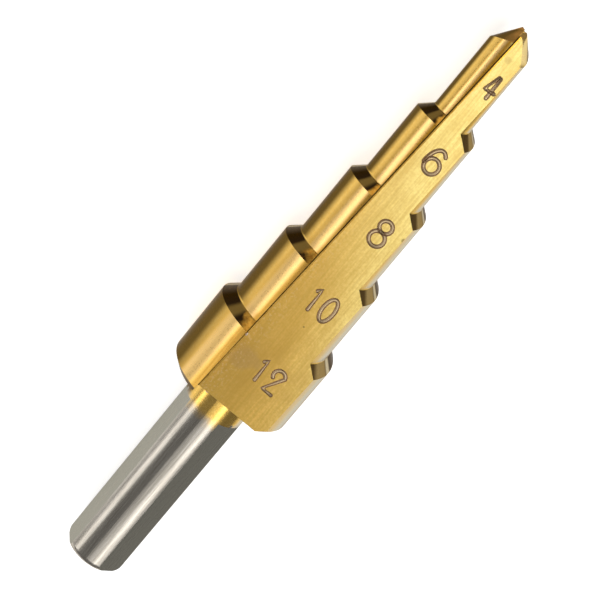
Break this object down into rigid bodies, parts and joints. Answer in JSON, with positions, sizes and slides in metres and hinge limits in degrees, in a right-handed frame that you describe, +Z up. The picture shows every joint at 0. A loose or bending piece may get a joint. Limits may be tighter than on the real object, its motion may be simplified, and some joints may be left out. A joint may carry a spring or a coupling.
{
  "type": "step drill",
  "caption": "Straight-fluted step drill: a tapering stack of round steps with relieved cutting chamfers, a ground point and a round shank with flats for a chuck.",
  "frame": {"origin": "on the surface that the drill lies on, under the middle of its length", "axes": "+X along the axis of the drill towards its point, +Z up through the middle of the flute that carries the size marks"},
  "size_m": [0.0642, 0.012, 0.0095],
  "materials": {
    "coated_steel": "satin titanium nitride coat on ground high-speed steel, worn to bare steel on the shank"
  },
  "bodies": {
    "root": {"step_drill": "coated_steel"}
  },
  "joints": []
}
